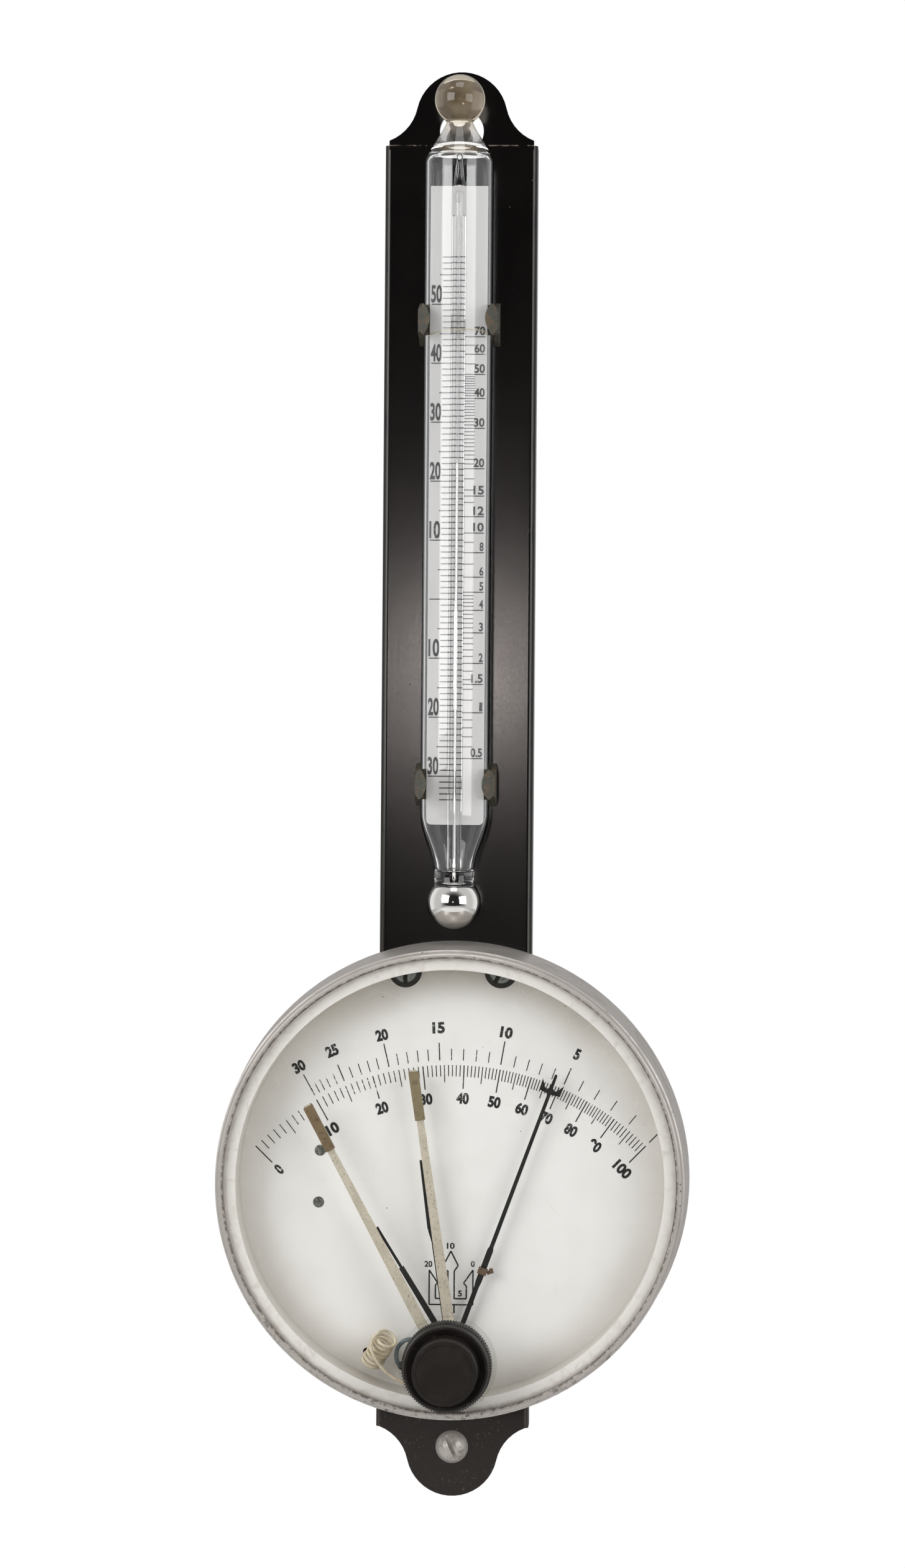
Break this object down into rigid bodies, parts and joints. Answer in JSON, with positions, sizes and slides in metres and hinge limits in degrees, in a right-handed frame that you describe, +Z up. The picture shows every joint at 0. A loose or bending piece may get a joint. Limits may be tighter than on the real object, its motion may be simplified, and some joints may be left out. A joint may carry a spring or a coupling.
{
  "type": "polymeter",
  "caption": "Wall polymeter: a round glazed hair hygrometer with two setting hands and knobs below an enclosed-scale mercury thermometer, clipped to a black channel plate.",
  "frame": {"origin": "centre of the hanging hole on the front face of the back plate", "axes": "+Z up along the plate, +X to the right seen from the front, +Y towards the wall; the front faces -Y"},
  "size_m": [0.1092, 0.049, 0.3302],
  "materials": {
    "plate_black": "semi-matt black paint, worn",
    "case_nickel": "aged nickel plating with brown pits",
    "ring_white": "satin off-white",
    "dial_silver": "silvery-white lacquer, crazed",
    "clear_glass": "clear",
    "milk_glass": "opaque white",
    "mercury_metal": "liquid metal",
    "clip_metal": "dark grey-brown patina",
    "movement_brass": "satin",
    "steel": "satin",
    "pointer_black": "semi-matt black",
    "hand_silver": "silvered, worn",
    "sleeve_brass": "olive-brown patina",
    "knob_black": "matt black-brown",
    "hair": "natural hair",
    "lead_white": "aged white insulation",
    "lead_blue": "faded blue-grey insulation",
    "clear_plastic": "clear",
    "insulator": "dark brown moulding"
  },
  "bodies": {
    "frame": {"back_plate": "plate_black", "lower_screw": "case_nickel", "lower_spacer": "movement_brass", "upper_clip": "clip_metal", "lower_clip": "clip_metal", "clip_rivets": "clip_metal", "glass_jacket": "clear_glass", "scale_support": "clear_glass", "scale_strip": "milk_glass", "capillary": "clear_glass", "mercury": "mercury_metal", "tie_wire": "sleeve_brass", "case_cup": "case_nickel", "case_screws": "steel", "case_nuts": "steel", "inner_ring": "ring_white", "bezel": "case_nickel", "crystal": "clear_glass", "dial": "dial_silver", "shelf_ring": "movement_brass", "dial_screws": "steel", "dial_feet": "steel", "movement_plate": "movement_brass", "movement_screws": "steel", "upper_cock": "movement_brass", "cock_posts": "movement_brass", "hair_bundle": "hair", "hair_clamp": "movement_brass", "hair_adjuster": "steel", "terminal_block": "insulator", "crystal_bush": "movement_brass", "bush_nut": "movement_brass", "knob_washer": "clear_plastic", "white_lead": "lead_white", "blue_lead": "lead_blue"},
    "pointer": {"pointer_spindle": "steel", "hair_drum": "movement_brass", "balance_weight": "movement_brass", "pointer_arm": "pointer_black", "pointer_needle": "pointer_black", "feeler_hook": "sleeve_brass"},
    "low_setter": {"outer_shaft": "movement_brass", "low_hub": "hand_silver", "low_hand": "hand_silver", "low_finger": "pointer_black", "low_sleeve": "sleeve_brass", "knurled_knob": "knob_black"},
    "high_setter": {"inner_shaft": "movement_brass", "high_hub": "hand_silver", "high_hand": "hand_silver", "high_finger": "pointer_black", "high_sleeve": "sleeve_brass", "cap_knob": "knob_black"}
  },
  "joints": [
    {"name": "pointer_turn", "type": "hinge", "parent": "frame", "child": "pointer", "pos_m": [0, 0, -0.2827], "axis": [0, 1, 0], "range_deg": [-62.7, 22.7], "stiffness_Nm_per_rad": 0.004},
    {"name": "low_set", "type": "hinge", "parent": "frame", "child": "low_setter", "pos_m": [0, 0, -0.2827], "axis": [0, 1, 0], "range_deg": [-14.3, 71.1]},
    {"name": "high_set", "type": "hinge", "parent": "frame", "child": "high_setter", "pos_m": [0, 0, -0.2827], "axis": [0, 1, 0], "range_deg": [-33.9, 51.4]}
  ]
}
